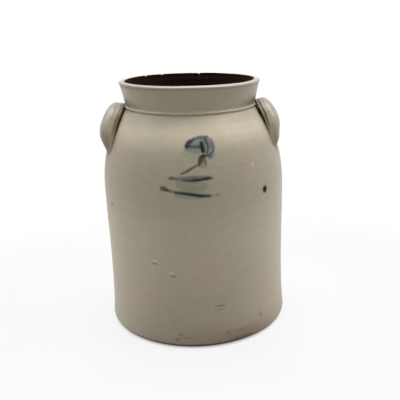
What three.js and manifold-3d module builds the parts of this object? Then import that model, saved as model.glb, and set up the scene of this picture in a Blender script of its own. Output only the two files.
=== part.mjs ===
// Stoneware crock: a wheel-thrown jar with a flared collar, coated inside with dark slip,
// and two arched straps of clay pressed onto its shoulder as lug handles.
// Millimetres, +Z up. The origin is the middle of the foot, on the surface that the crock
// stands on. The front faces -Y, and the handles are on -X and +X.
import * as THREE from "three";
import { mergeVertices } from "three/addons/utils/BufferGeometryUtils.js";
import Module from "manifold-3d";

const wasm = await Module();
wasm.setup();

// Outside of the jar, from the foot up
const jarHeight = 298;
const footRadius = 110.4;
const footEase = 2.5; // rounding of the foot's lower edge
const footFlare = 30; // height by which the flare of the foot dies out
const waistRadius = 108.1; // slimmest part of the barrel
const waistHeight = 72;
const barrelRadius = 109; // where the barrel turns into the shoulder
const shoulderRise = 94.4;
const shoulderSlope = 37; // degrees from upright, where the shoulder reaches the neck
const grooveHeight = 1.8; // tooled line between the shoulder and the bead
const grooveDepth = 0.8;
const beadHeight = 2.6; // raised ring round the foot of the neck
const beadProud = 1.3;
const neckRadius = 76.8;
const collarHeight = 23.2; // flared face of the neck
const collarFlare = 5.4; // how far that face leans out
const lipHeight = 6;
const lipProud = 0.6; // lip beyond the collar
const rimEase = 1.6; // rounding of the rim's two edges

// Inside of the jar
const wallThickness = 9;
const rimThickness = 7.4;
const footThickness = 12; // wall just above the floor
const floorThickness = 12;
const insideCorner = 16; // radius between the floor and the wall
const liningThickness = 0.8;

// Lug handles
const handleSpan = 56; // between the middles of a strap's two ends
const archRise = 31; // from the ends up to the crown
const crownDrop = 9; // middle of the crown below the top of the shoulder
const crownWidth = 24; // strap at its crown, measured up the shoulder
const crownThickness = 14.4;
const endWidth = 17;
const endThickness = 6.5;
const gripGap = 2.2; // between the back of the crown and the shoulder
const pressDepth = 1.8; // how far the ends are squeezed into the shoulder
const tipLength = 5.5; // rounded tip past each end

const fitGap = 0.3; // clearance between pieces that touch

// Shape factors without a unit
const shoulderFullness = 0.45; // share of the shoulder's rise that leaves the barrel upright
const neckLead = 0.3; // share of the rise that runs straight into the neck
const collarHollow = 0.4; // share of the flare at half the collar's height, 0.5 being straight
const throatTurn = 0.2; // share of the collar's height in which the inside turns at the throat
const pressFade = 5; // how quickly the strap lifts off the shoulder, away from its ends
const taperEnd = 0.62; // share of the arch's rise by which the strap has its full thickness
const strapSquareness = 0.62; // corner of the strap's section, 1 being an ellipse

// Fineness of the facets
const facetsAround = 40;
const facetLength = 16; // longest step along a curved outline
const leastSteps = 3; // on a short curve
const strapSteps = 20;
const strapSides = 16;
const tipSteps = 3;
const samePlace = 1e-6; // points closer than this are one point
const sameShare = 1e-9; // shares of a curve closer than this are one place on it
const shareStep = 1e-4; // share of the strap to each side, over which its direction is found

// Heights and radii that follow from the sizes above
const lipBottom = jarHeight - lipHeight;
const neckBottom = lipBottom - collarHeight;
const beadBottom = neckBottom - beadHeight;
const shoulderTop = beadBottom - grooveHeight;
const shoulderBottom = shoulderTop - shoulderRise;
const collarRadius = neckRadius + collarFlare;
const lipRadius = collarRadius + lipProud;
const rimInside = lipRadius - rimThickness;
const rimShoulder = jarHeight - rimEase; // where the rim's rounding starts, and the lining ends
const leanRatio = Math.tan(THREE.MathUtils.degToRad(shoulderSlope));

// Finishes
const stonewareColour = "#a59d87";
const stonewareRoughness = 0.4;
const slipColour = "#2a1c15";
const slipRoughness = 0.25;

// Points along a path's lines and curves
function pathPoints(path) {
  const points = [path.curves[0].getPoint(0)];
  for (const curve of path.curves) {
    const facets = Math.ceil(curve.getLength() / facetLength);
    const steps = curve.isLineCurve ? 1 : Math.max(leastSteps, facets);
    for (const point of curve.getPoints(steps)) {
      if (point.distanceTo(points.at(-1)) > samePlace) {
        points.push(point);
      }
    }
  }
  return points;
}

// Outer line of the shoulder, from the barrel up to the groove, set out from the wall by a clearance
function shoulderCurve(clearance) {
  const topRadius = neckRadius + beadProud + clearance;
  const lead = neckLead * shoulderRise;
  return new THREE.CubicBezierCurve(
    new THREE.Vector2(barrelRadius + clearance, shoulderBottom),
    new THREE.Vector2(barrelRadius + clearance, shoulderBottom + shoulderFullness * shoulderRise),
    new THREE.Vector2(topRadius + leanRatio * lead, shoulderTop - lead),
    new THREE.Vector2(topRadius, shoulderTop),
  );
}

// Outside of the jar from the foot's flat to the rim's flat, set out from the wall by a clearance
function outsidePoints(clearance) {
  const path = new THREE.Path();
  const foot = footRadius + clearance;
  const waist = waistRadius + clearance;
  const barrel = barrelRadius + clearance;
  const neck = neckRadius + clearance;
  const collar = collarRadius + clearance;
  const lip = lipRadius + clearance;
  const barrelMiddle = (waistHeight + shoulderBottom) / 2;
  const grooveMiddle = (shoulderTop + beadBottom) / 2;
  const beadMiddle = (beadBottom + neckBottom) / 2;
  const collarMiddle = (neckBottom + lipBottom) / 2;
  path.moveTo(foot - footEase, 0);
  path.absarc(foot - footEase, footEase, footEase, -Math.PI / 2, 0, false);
  path.quadraticCurveTo(waist, footFlare, waist, waistHeight);
  path.bezierCurveTo(waist, barrelMiddle, barrel, barrelMiddle, barrel, shoulderBottom);
  path.add(shoulderCurve(clearance));
  path.currentPoint.set(neck + beadProud, shoulderTop);
  path.quadraticCurveTo(neck - grooveDepth, grooveMiddle, neck, beadBottom);
  path.quadraticCurveTo(neck + 2 * beadProud, beadMiddle, neck, neckBottom);
  path.quadraticCurveTo(neck + collarHollow * collarFlare, collarMiddle, collar, lipBottom);
  path.lineTo(lip, lipBottom + lipProud);
  path.lineTo(lip, rimShoulder);
  path.absarc(lip - rimEase, rimShoulder, rimEase, 0, Math.PI / 2, false);
  return pathPoints(path);
}

// Inside of the jar from the rim's rounding down to the middle of the floor, set in from it by a coat
function insidePoints(coat) {
  const path = new THREE.Path();
  const throat = neckRadius - wallThickness - coat;
  const barrel = barrelRadius - wallThickness - coat;
  const waist = waistRadius - wallThickness - coat;
  const foot = footRadius - footThickness - coat;
  const floor = floorThickness + coat;
  const corner = insideCorner - coat;
  const turn = throatTurn * collarHeight;
  const lead = neckLead * shoulderRise;
  const barrelMiddle = (waistHeight + shoulderBottom) / 2;
  path.moveTo(rimInside - coat, rimShoulder);
  path.quadraticCurveTo(throat - leanRatio * turn, beadBottom + turn, throat, beadBottom);
  path.bezierCurveTo(
    throat + leanRatio * lead,
    beadBottom - lead,
    barrel,
    shoulderBottom + shoulderFullness * shoulderRise,
    barrel,
    shoulderBottom,
  );
  path.bezierCurveTo(barrel, barrelMiddle, waist, barrelMiddle, waist, waistHeight);
  path.lineTo(foot, floor + corner);
  path.absarc(foot - corner, floor + corner, corner, 0, -Math.PI / 2, true);
  path.lineTo(0, floor);
  return pathPoints(path);
}

// Turned solid from an outline that starts and ends on the axis and goes up its outside
function turned(outline) {
  const geometry = new THREE.LatheGeometry(outline, facetsAround);
  geometry.rotateX(Math.PI / 2);
  return geometry;
}

function jarGeometry() {
  const path = new THREE.Path();
  path.absarc(rimInside + rimEase, rimShoulder, rimEase, Math.PI / 2, Math.PI, false);
  const rimEdge = pathPoints(path).slice(0, -1);
  return turned([new THREE.Vector2(0, 0), ...outsidePoints(0), ...rimEdge, ...insidePoints(0)]);
}

function liningGeometry() {
  const against = insidePoints(fitGap).reverse();
  const within = insidePoints(fitGap + liningThickness);
  return turned([...against, ...within]);
}

// Everything that the jar fills on its outside, with the clearance round it
function jarKeepOut() {
  const outside = outsidePoints(fitGap);
  return turned([new THREE.Vector2(0, 0), ...outside, new THREE.Vector2(0, jarHeight)]);
}

// Radius and lean of the shoulder at a height, running on straight past its top and bottom
const shoulderLine = shoulderCurve(0);
function shoulderAt(height) {
  let below = 0;
  let above = 1;
  while (above - below > sameShare) {
    const middle = (below + above) / 2;
    if (shoulderLine.getPoint(middle).y < height) {
      below = middle;
    } else {
      above = middle;
    }
  }
  const point = shoulderLine.getPoint(below);
  const tangent = shoulderLine.getTangent(below);
  return {
    radius: point.x + ((height - point.y) * tangent.x) / tangent.y,
    lean: Math.atan2(-tangent.x, tangent.y),
  };
}

// Place on a strap's middle line, from 0 at its front end to 1 at its back end
function strapPlace(share) {
  const angle = Math.PI * share;
  const lift = Math.sin(angle);
  const height = shoulderTop - crownDrop - archRise * (1 - lift);
  const wall = shoulderAt(height);
  const turn = Math.asin((-handleSpan * Math.cos(angle)) / 2 / wall.radius);
  const standoff = gripGap - (gripGap + pressDepth) * (1 - lift) ** pressFade;
  const fullness = THREE.MathUtils.smoothstep(lift, 0, taperEnd);
  const thickness = THREE.MathUtils.lerp(endThickness, crownThickness, fullness);
  const width = THREE.MathUtils.lerp(endWidth, crownWidth, lift);
  const outward = new THREE.Vector3(
    Math.cos(turn) * Math.cos(wall.lean),
    Math.sin(turn) * Math.cos(wall.lean),
    Math.sin(wall.lean),
  );
  const middle = new THREE.Vector3(
    wall.radius * Math.cos(turn),
    wall.radius * Math.sin(turn),
    height,
  );
  middle.addScaledVector(outward, standoff + thickness / 2);
  return { middle, outward, width, thickness };
}

// Direction of the strap's middle line
function strapTangent(share) {
  const before = strapPlace(Math.max(0, share - shareStep)).middle;
  const after = strapPlace(Math.min(1, share + shareStep)).middle;
  return after.sub(before).normalize();
}

// One ring of the strap's surface: a rounded oblong, shrunk and moved along the strap for the tips
function strapRing(share, shrink, advance) {
  const place = strapPlace(share);
  const tangent = strapTangent(share);
  const side = new THREE.Vector3().crossVectors(place.outward, tangent).normalize();
  const outward = new THREE.Vector3().crossVectors(tangent, side);
  const ring = [];
  for (let corner = 0; corner < strapSides; corner += 1) {
    const angle = (2 * Math.PI * corner) / strapSides;
    const across = Math.sign(Math.cos(angle)) * Math.abs(Math.cos(angle)) ** strapSquareness;
    const out = Math.sign(Math.sin(angle)) * Math.abs(Math.sin(angle)) ** strapSquareness;
    const point = place.middle.clone();
    point.addScaledVector(tangent, advance);
    point.addScaledVector(side, (across * shrink * place.width) / 2);
    point.addScaledVector(outward, (out * shrink * place.thickness) / 2);
    ring.push(point);
  }
  return ring;
}

// Rings from the front tip to the back tip
function strapRings() {
  const rings = [];
  for (let step = 1 - tipSteps; step < 0; step += 1) {
    const angle = (Math.PI * step) / (2 * tipSteps);
    rings.push(strapRing(0, Math.cos(angle), tipLength * Math.sin(angle)));
  }
  for (let step = 0; step <= strapSteps; step += 1) {
    rings.push(strapRing(step / strapSteps, 1, 0));
  }
  for (let step = 1; step < tipSteps; step += 1) {
    const angle = (Math.PI * step) / (2 * tipSteps);
    rings.push(strapRing(1, Math.cos(angle), tipLength * Math.sin(angle)));
  }
  return rings;
}

// Closed surface through the rings, drawn to a point at each tip
function strapGeometry() {
  const rings = strapRings();
  const points = rings.flat();
  const frontTip = points.length;
  const backTip = frontTip + 1;
  points.push(strapPlace(0).middle.addScaledVector(strapTangent(0), -tipLength));
  points.push(strapPlace(1).middle.addScaledVector(strapTangent(1), tipLength));
  const lastRing = (rings.length - 1) * strapSides;
  const corners = [];
  for (let side = 0; side < strapSides; side += 1) {
    const next = (side + 1) % strapSides;
    corners.push(frontTip, next, side);
    for (let start = 0; start < lastRing; start += strapSides) {
      const end = start + strapSides;
      corners.push(start + side, start + next, end + side);
      corners.push(start + next, end + next, end + side);
    }
    corners.push(backTip, lastRing + side, lastRing + next);
  }
  const geometry = new THREE.BufferGeometry().setFromPoints(points);
  geometry.setIndex(corners);
  return geometry;
}

function toSolid(geometry) {
  const bare = geometry.clone();
  bare.deleteAttribute("normal");
  bare.deleteAttribute("uv");
  const merged = mergeVertices(bare);
  return new wasm.Manifold(
    new wasm.Mesh({
      numProp: 3,
      vertProperties: new Float32Array(merged.attributes.position.array),
      triVerts: new Uint32Array(merged.index.array),
    }),
  );
}

function toGeometry(solid) {
  const mesh = solid.getMesh();
  const geometry = new THREE.BufferGeometry();
  geometry.setAttribute("position", new THREE.BufferAttribute(mesh.vertProperties, 3));
  geometry.setIndex(new THREE.BufferAttribute(mesh.triVerts, 1));
  geometry.computeVertexNormals();
  return geometry;
}

// A strap on the +X side, its back cut to the shoulder that it is pressed on
function handleGeometry() {
  return toGeometry(toSolid(strapGeometry()).subtract(toSolid(jarKeepOut())));
}

function piece(name, geometry, color, roughness) {
  const material = new THREE.MeshStandardMaterial({ color, roughness, metalness: 0 });
  const mesh = new THREE.Mesh(geometry, material);
  mesh.name = name;
  return mesh;
}

const crock = new THREE.Group();
crock.add(piece("crock_body", jarGeometry(), stonewareColour, stonewareRoughness));
crock.add(piece("slip_lining", liningGeometry(), slipColour, slipRoughness));
crock.add(piece("right_lug_handle", handleGeometry(), stonewareColour, stonewareRoughness));
const leftHandle = piece("left_lug_handle", handleGeometry(), stonewareColour, stonewareRoughness);
leftHandle.rotation.z = Math.PI;
crock.add(leftHandle);

export default crock;
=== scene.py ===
"""Salt-glazed stoneware crock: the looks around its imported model.

A wheel-thrown jar coated inside with dark slip, two straps of clay pressed onto its shoulder
as lug handles, and a capacity figure brushed on its front in cobalt.
Metres, +Z up, the front towards -Y and the handles on -X and +X.
"""
import math

import bmesh
import bpy
import numpy as np
from bpy.props import FloatProperty, FloatVectorProperty, IntProperty, PointerProperty
from mathutils import Euler, Matrix, Vector


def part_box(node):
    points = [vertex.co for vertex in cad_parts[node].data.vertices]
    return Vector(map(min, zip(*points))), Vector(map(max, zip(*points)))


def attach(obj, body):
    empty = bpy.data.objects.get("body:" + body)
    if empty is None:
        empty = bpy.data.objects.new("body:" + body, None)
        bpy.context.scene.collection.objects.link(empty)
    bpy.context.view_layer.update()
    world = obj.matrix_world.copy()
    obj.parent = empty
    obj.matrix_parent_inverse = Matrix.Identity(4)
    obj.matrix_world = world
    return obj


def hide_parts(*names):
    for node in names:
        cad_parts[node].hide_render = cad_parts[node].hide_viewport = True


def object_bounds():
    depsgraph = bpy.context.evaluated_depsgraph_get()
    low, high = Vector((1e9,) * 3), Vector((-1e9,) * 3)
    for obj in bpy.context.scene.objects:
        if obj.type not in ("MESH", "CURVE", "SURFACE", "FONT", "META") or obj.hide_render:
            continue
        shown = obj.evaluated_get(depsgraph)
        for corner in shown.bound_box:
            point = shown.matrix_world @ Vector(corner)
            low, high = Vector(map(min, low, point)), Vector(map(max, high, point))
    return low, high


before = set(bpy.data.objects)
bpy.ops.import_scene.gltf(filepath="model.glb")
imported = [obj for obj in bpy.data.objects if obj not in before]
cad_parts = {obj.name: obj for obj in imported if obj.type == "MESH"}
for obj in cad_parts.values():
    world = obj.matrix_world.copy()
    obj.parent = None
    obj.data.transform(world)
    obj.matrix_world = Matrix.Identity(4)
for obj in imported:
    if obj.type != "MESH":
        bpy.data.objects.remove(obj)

bl_info = {
    "name": "Stoneware Crock",
    "version": (1, 0, 0),
    "blender": (4, 5, 0),
    "location": "3D View > Sidebar > Crock",
    "description": "Makes a salt-glazed stoneware crock and the stage that it stands on",
    "category": "Add Mesh",
}

MM = 0.001
CAD_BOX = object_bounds()
JAR_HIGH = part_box("crock_body")[1]

# Fineness of the meshes
WALL_STEP = 2.6 * MM  # rows up the barrel
SHOULDER_STEP = 0.85 * MM  # rows where the figure is painted
DETAIL_STEP = 0.55 * MM  # rows on the groove, the bead and the lip
HIDDEN_STEP = 10 * MM  # rows that the lining or the floor hides
LINING_STEP = 3 * MM
LEAST_STEPS = 3
EDGE_STEPS = 6  # rows on a rounded edge
SEAM = 0.01 * MM  # points closer than this become one


def linear(hex_colour):
    """An sRGB hex colour as linear red, green and blue."""
    channels = [int(hex_colour[start:start + 2], 16) / 255 for start in (1, 3, 5)]
    return [c / 12.92 if c <= 0.04045 else ((c + 0.055) / 1.055) ** 2.4 for c in channels]


def size(name, millimetres, description):
    """A length that a user may change."""
    return FloatProperty(
        name=name, description=description, default=millimetres * MM, unit="LENGTH", precision=5)


def factor(name, value, description):
    """A plain number that a user may change."""
    return FloatProperty(name=name, description=description, default=value, precision=3)


def angle(name, degrees, description):
    """An angle that a user may change."""
    return FloatProperty(name=name, description=description, default=math.radians(degrees), subtype="ANGLE")


def tint(name, hex_colour, description):
    """A colour that a user may change."""
    return FloatVectorProperty(
        name=name, description=description, default=linear(hex_colour), subtype="COLOR", min=0, max=1)


class JarSettings(bpy.types.PropertyGroup):
    """Sizes of the thrown jar, from its foot up."""

    height: size("Height", JAR_HIGH.z / MM, "Foot to rim")
    foot_radius: size("Foot radius", JAR_HIGH.x / MM, "Widest part of the foot")
    foot_ease: size("Foot ease", 7.5, "Rounding of the foot's lower edge")
    foot_flare: size("Foot flare", 30, "Height by which the flare of the foot dies out")
    waist_radius: size("Waist radius", 108.1, "Slimmest part of the barrel")
    waist_height: size("Waist height", 72, "Height of the slimmest part")
    barrel_radius: size("Barrel radius", 109, "Where the barrel turns into the shoulder")
    shoulder_rise: size("Shoulder rise", 93.2, "Height of the shoulder")
    shoulder_slope: angle("Shoulder slope", 37, "From upright, where the shoulder reaches the neck")
    shoulder_fullness: factor("Shoulder fullness", 0.45, "Share of its rise that leaves the barrel upright")
    neck_lead: factor("Neck lead", 0.3, "Share of the rise that runs straight into the neck")
    groove_height: size("Groove height", 1.8, "Tooled line under the bead")
    groove_depth: size("Groove depth", 0.45, "How far that line is cut in")
    bead_height: size("Bead height", 2.6, "Raised ring round the foot of the neck")
    bead_proud: size("Bead proud", 1.15, "How far that ring stands out")
    neck_radius: size("Neck radius", 76.8, "Foot of the neck")
    collar_height: size("Collar height", 24.4, "Flared face of the neck")
    collar_flare: size("Collar flare", 5.4, "How far that face leans out")
    collar_hollow: factor("Collar hollow", 0.4, "Share of the flare at half height, 0.5 being straight")
    lip_height: size("Lip height", 6, "Band round the rim")
    lip_proud: size("Lip proud", 0.6, "Lip beyond the collar")
    lip_cut: size("Lip cut", 0.3, "Tooled line under the lip")
    rim_round: size("Rim rounding", 3.6, "Outer edge of the rim")
    rim_ease: size("Rim ease", 3.4, "Inner edge of the rim")
    wall: size("Wall", 9, "Thickness of the barrel and the shoulder")
    rim: size("Rim", 7.4, "Thickness of the rim")
    foot_wall: size("Foot wall", 12, "Wall just above the floor")
    floor: size("Floor", 12, "Thickness of the floor")
    inside_corner: size("Inside corner", 16, "Radius between the floor and the wall")
    slip_lap: angle("Slip lap", 50, "How far the slip climbs over the rim's inner edge")
    throat_turn: factor("Throat turn", 0.2, "Share of the collar in which the inside turns at the throat")
    lining: size("Lining", 0.5, "Thickness of the slip")
    fit: size("Fit", 0.1, "Clearance between the clay and the slip")
    rim_tilt: angle("Rim tilt", 1, "How far the neck dips towards +X")
    rim_sag: size("Rim sag", 1.9, "How far the rim settled while wet")
    rim_dip: size("Rim dip", 0.2, "How far the rim's front settled below that")
    rim_wave: size("Rim wave", 0.25, "How uneven the rim's height is")
    ring_depth: size("Throwing rings", 0.03, "Depth of the finger marks outside")
    lining_ring_depth: size("Inside rings", 0.6, "Depth of the finger marks inside")
    ring_spacing: size("Ring spacing", 7.5, "Distance between finger marks")
    out_of_round: size("Out of round", 0.35, "How far the wall strays from a true circle")
    segments: IntProperty(name="Segments", description="Facets round the jar", default=320, min=16)
    crowding: factor("Crowding", 0.6, "How far the facets crowd towards the painted front")


class HandleSettings(bpy.types.PropertyGroup):
    """Sizes of the straps pressed onto the shoulder."""

    span: size("Span", 56, "Between the middles of a strap's two ends")
    arch_rise: size("Arch rise", 31, "From the ends up to the crown")
    crown_drop: size("Crown drop", 7.8, "Middle of the crown below the top of the shoulder")
    crown_width: size("Crown width", 24, "Strap at its crown, measured up the shoulder")
    crown_thickness: size("Crown thickness", 15, "Strap at its crown, out from the shoulder")
    end_width: size("End width", 17, "Strap where it is pressed on")
    end_thickness: size("End thickness", 7.6, "Strap where it is pressed on")
    grip_gap: size("Grip gap", 0.8, "Between the back of the crown and the shoulder")
    press_depth: size("Press depth", 1.8, "How far the ends are squeezed into the shoulder")
    tail_length: size("Tail", 8, "Smear of clay below each end")
    lift_start: factor("Lift start", 0.15, "Share of the rise at which the strap leaves the shoulder")
    lift_end: factor("Lift end", 0.75, "Share of the rise at which its gap is full")
    level_top: factor("Level top", 0.5, "How far the crown's top is level, 0 being square to the shoulder")
    foot_flare: factor("Foot flare", 0.3, "How far the pressed ends spread on the shoulder")
    front_squareness: factor("Front squareness", 0.66, "Outer corners of the section, 1 being an ellipse")
    back_squareness: factor("Back squareness", 0.34, "Corners of the section next to the jar")
    lumps: size("Lumps", 0.45, "Unevenness left by the fingers")
    corner_rise: size("Corner rise", 2.4, "How far the crown's inner edge is drawn up against the neck")
    crease_depth: size("Crease depth", 1, "Depth of a full fold along the strap")
    crease_place: factor("Crease place", -0.45, "Fold along the strap, from -1 at its back to 1 at its front")
    crease_width: factor("Crease width", 0.14, "Half width of the fold, as a share of half the thickness")


class GlazeSettings(bpy.types.PropertyGroup):
    """Colours of the clay, its glaze and stains, and the slip, some of them also used as painted light and
    shade.
    """

    stoneware: tint("Stoneware", "#9d9582", "Grey-buff clay under salt glaze")
    warm: tint("Warm glaze", "#a3937f", "Patches that caught more flame")
    cool: tint("Cool glaze", "#99937f", "Patches that caught more salt")
    # Pale worn clay, also used as a painted reflection on the rim's back and a painted highlight along the
    # bead
    worn: tint("Worn rim", "#c2b69c", "Clay where the rim's glaze has worn thin")
    bare_clay: tint("Bare clay", "#b39f82", "Underside, where there is no glaze")
    stain: tint("Stain", "#84705a", "Brown stain round the foot")
    # Painted shade: the grey on the straps' outer sides and on their tops
    shade_grey: tint("Soot", "#7f7868", "Grey film on the outside of the straps")
    # Painted shade on the straps' faces next to the jar
    inner_shade: tint("Grime", "#6c5e41", "Olive film on the straps' faces next to the jar")
    # Dirt colour: dirt with painted shade in the tooled lines and behind the straps, and painted shade under
    # the straps, in their folds and along the foot's edge
    dirt_and_shade: tint("Dirt", "#3a2a14", "In tooled lines, under the straps and along the foot's edge")
    iron: tint("Iron", "#1d130f", "Iron specks in the clay")
    slip: tint("Slip", "#090303", "Brown slip inside")
    slip_thin: tint("Thin slip", "#1b0907", "Slip where it ran thin")


class StageSettings(bpy.types.PropertyGroup):
    """Camera, floor and light."""

    camera_place: FloatVectorProperty(
        name="Camera", description="Place of the camera", default=(0, -0.7152, 0.3676), subtype="TRANSLATION")
    camera_pitch: angle("Pitch", 17.28, "Camera below the horizon")
    camera_yaw: angle("Yaw", 0.57, "Camera turned to the right")
    camera_roll: angle("Roll", -2.29, "Camera turned about its own line of sight")
    lens: factor("Lens", 53.62, "Focal length in millimetres, on a 36 mm sensor")
    floor_middle: tint("Floor", "#9a9a98", "Floor in front of the crock and behind it")
    floor_sides: tint("Floor sides", "#f6f6f4", "Floor close beside the crock")
    front_level: factor("Front level", 0.57, "Plain light from in front and from behind")
    side_level: factor("Side level", 0.85, "Plain light from either side")
    right_lamp: factor("Right lamp", 12.2, "Softbox to the right, in watts")
    left_lamp: factor("Left lamp", 8.2, "Softbox to the left, in watts")
    top_lamp: factor("Top lamp", 13, "Softbox overhead, in watts")
    lamp_size: factor("Lamp size", 0.8, "Side of each softbox, in metres")
    lamp_distance: factor("Lamp distance", 1.3, "From each softbox to the crock, in metres")


def add(tree, kind, links=None, take=0, **settings):
    """Adds a node with its settings and with its inputs set or linked, and gives one of its outputs."""
    node = tree.nodes.new(kind)
    for name, value in settings.items():
        setattr(node, name, value)
    for socket, source in (links or {}).items():
        if isinstance(source, bpy.types.NodeSocket):
            tree.links.new(source, node.inputs[socket])
        else:
            node.inputs[socket].default_value = source
    return node.outputs[take] if node.outputs else node


# Outlines, as points of radius and height

def bezier(*controls, spacing):
    """Points along a Bezier curve, without its first point."""
    level = [np.array(control, float) for control in controls]
    length = sum(np.linalg.norm(b - a) for a, b in zip(level, level[1:]))
    steps = max(LEAST_STEPS, math.ceil(length / spacing))
    share = np.linspace(0, 1, steps + 1)[1:, None]
    while len(level) > 1:
        level = [a + (b - a) * share for a, b in zip(level, level[1:])]
    return level[0]


def line(start, end, spacing):
    """Points along a straight line, without its first point."""
    start, end = np.array(start, float), np.array(end, float)
    steps = max(1, math.ceil(np.linalg.norm(end - start) / spacing))
    return start + (end - start) * np.linspace(0, 1, steps + 1)[1:, None]


def arc(centre, radius, first, last):
    """Points along a circular arc between two angles in degrees, without its first point."""
    angles = np.radians(np.linspace(first, last, EDGE_STEPS + 1)[1:])
    return np.array(centre) + radius * np.column_stack((np.cos(angles), np.sin(angles)))


def jar_levels(jar):
    """Heights that follow from the jar's sizes, from the lip down."""
    lip_bottom = jar.height - jar.lip_height
    neck_bottom = lip_bottom - jar.collar_height
    bead_bottom = neck_bottom - jar.bead_height
    shoulder_top = bead_bottom - jar.groove_height
    shoulder_bottom = shoulder_top - jar.shoulder_rise
    return lip_bottom, neck_bottom, bead_bottom, shoulder_top, shoulder_bottom


def shoulder_points(jar):
    """Outer line of the shoulder, from the barrel up to the groove, without its first point."""
    _, _, _, top, bottom = jar_levels(jar)
    lead = jar.neck_lead * jar.shoulder_rise
    top_radius = jar.neck_radius + jar.bead_proud
    return bezier(
        (jar.barrel_radius, bottom),
        (jar.barrel_radius, bottom + jar.shoulder_fullness * jar.shoulder_rise),
        (top_radius + math.tan(jar.shoulder_slope) * lead, top - lead),
        (top_radius, top),
        spacing=SHOULDER_STEP)


def outside_points(jar):
    """Outside of the jar, from the foot's flat to the rim's flat."""
    lip_bottom, neck_bottom, bead_bottom, shoulder_top, shoulder_bottom = jar_levels(jar)
    foot, waist, barrel, neck = jar.foot_radius, jar.waist_radius, jar.barrel_radius, jar.neck_radius
    barrel_middle = (jar.waist_height + shoulder_bottom) / 2
    groove_middle = (shoulder_top + bead_bottom) / 2
    bead_middle = (bead_bottom + neck_bottom) / 2
    collar_middle = (neck_bottom + lip_bottom) / 2
    collar = neck + jar.collar_flare
    lip = collar + jar.lip_proud
    lip_edge = jar.height - jar.rim_round
    return np.vstack((
        arc((foot - jar.foot_ease, jar.foot_ease), jar.foot_ease, -90, 0),
        bezier((foot, jar.foot_ease), (waist, jar.foot_flare), (waist, jar.waist_height), spacing=WALL_STEP),
        bezier((waist, jar.waist_height), (waist, barrel_middle), (barrel, barrel_middle),
               (barrel, shoulder_bottom), spacing=WALL_STEP),
        shoulder_points(jar),
        bezier((neck + jar.bead_proud, shoulder_top), (neck - jar.groove_depth, groove_middle),
               (neck, bead_bottom), spacing=DETAIL_STEP),
        bezier((neck, bead_bottom), (neck + 2 * jar.bead_proud, bead_middle), (neck, neck_bottom),
               spacing=DETAIL_STEP),
        bezier((neck, neck_bottom), (neck + jar.collar_hollow * jar.collar_flare, collar_middle),
               (collar, lip_bottom), spacing=WALL_STEP),
        bezier((collar, lip_bottom), (collar - jar.lip_cut, lip_bottom + jar.lip_cut),
               (lip, lip_bottom + 2 * jar.lip_cut), spacing=DETAIL_STEP),
        line((lip, lip_bottom + 2 * jar.lip_cut), (lip, lip_edge), DETAIL_STEP),
        arc((lip - jar.rim_round, lip_edge), jar.rim_round, 0, 90)))


def inside_points(jar, coat, spacing):
    """Inside of the jar from the rim's rounding to the middle of the floor, set in by a coat."""
    _, _, bead_bottom, _, shoulder_bottom = jar_levels(jar)
    rim_inside = jar.neck_radius + jar.collar_flare + jar.lip_proud - jar.rim - coat
    throat = jar.neck_radius - jar.wall - coat
    barrel = jar.barrel_radius - jar.wall - coat
    waist = jar.waist_radius - jar.wall - coat
    foot = jar.foot_radius - jar.foot_wall - coat
    floor = jar.floor + coat
    corner = jar.inside_corner - coat
    turn = jar.throat_turn * jar.collar_height
    lead = jar.neck_lead * jar.shoulder_rise
    lean = math.tan(jar.shoulder_slope)
    barrel_middle = (jar.waist_height + shoulder_bottom) / 2
    rim_edge = jar.height - jar.rim_ease
    return np.vstack((
        [(rim_inside, rim_edge)],
        bezier((rim_inside, rim_edge), (throat - lean * turn, bead_bottom + turn), (throat, bead_bottom),
               spacing=spacing),
        bezier((throat, bead_bottom), (throat + lean * lead, bead_bottom - lead),
               (barrel, shoulder_bottom + jar.shoulder_fullness * jar.shoulder_rise),
               (barrel, shoulder_bottom), spacing=spacing),
        bezier((barrel, shoulder_bottom), (barrel, barrel_middle), (waist, barrel_middle),
               (waist, jar.waist_height), spacing=spacing),
        line((waist, jar.waist_height), (foot, floor + corner), spacing),
        arc((foot - corner, floor + corner), corner, 0, -90),
        line((foot - corner, floor), (0, floor), spacing)))


def jar_outline(jar):
    """Closed outline of the jar's clay, from the middle of its underside to the middle of its floor."""
    lip = jar.neck_radius + jar.collar_flare + jar.lip_proud
    rim_inside = lip - jar.rim
    flat_end = rim_inside + jar.rim_ease
    return np.vstack((
        [(0, 0)],
        line((0, 0), (jar.foot_radius - jar.foot_ease, 0), HIDDEN_STEP),
        outside_points(jar),
        line((lip - jar.rim_round, jar.height), (flat_end, jar.height), DETAIL_STEP),
        arc((flat_end, jar.height - jar.rim_ease), jar.rim_ease, 90, 180)[:-1],
        inside_points(jar, 0, HIDDEN_STEP)))


def lining_outline(jar):
    """Closed outline of the slip, up its back and down its face."""
    rim_inside = jar.neck_radius + jar.collar_flare + jar.lip_proud - jar.rim
    centre = (rim_inside + jar.rim_ease, jar.height - jar.rim_ease)
    lap = 180 - math.degrees(jar.slip_lap)
    back = inside_points(jar, jar.fit, HIDDEN_STEP)[::-1]
    face = inside_points(jar, jar.fit + jar.lining, LINING_STEP)
    return np.vstack((
        back,
        arc(centre, jar.rim_ease + jar.fit, 180, lap),
        arc(centre, jar.rim_ease + jar.fit + jar.lining, lap, 180)[:-1],
        face))


# Turning on the wheel

def shape_tree(name, inputs):
    """An empty node tree that makes a mesh from a chain of points, and the sockets of what it is given."""
    tree = bpy.data.node_groups.new(name, "GeometryNodeTree")
    for title, kind in {"Geometry": "Geometry", **inputs, "Material": "Material"}.items():
        tree.interface.new_socket(title, in_out="INPUT", socket_type=f"NodeSocket{kind}")
    tree.interface.new_socket("Geometry", in_out="OUTPUT", socket_type="NodeSocketGeometry")
    return tree, add(tree, "NodeGroupInput").node.outputs


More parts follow.
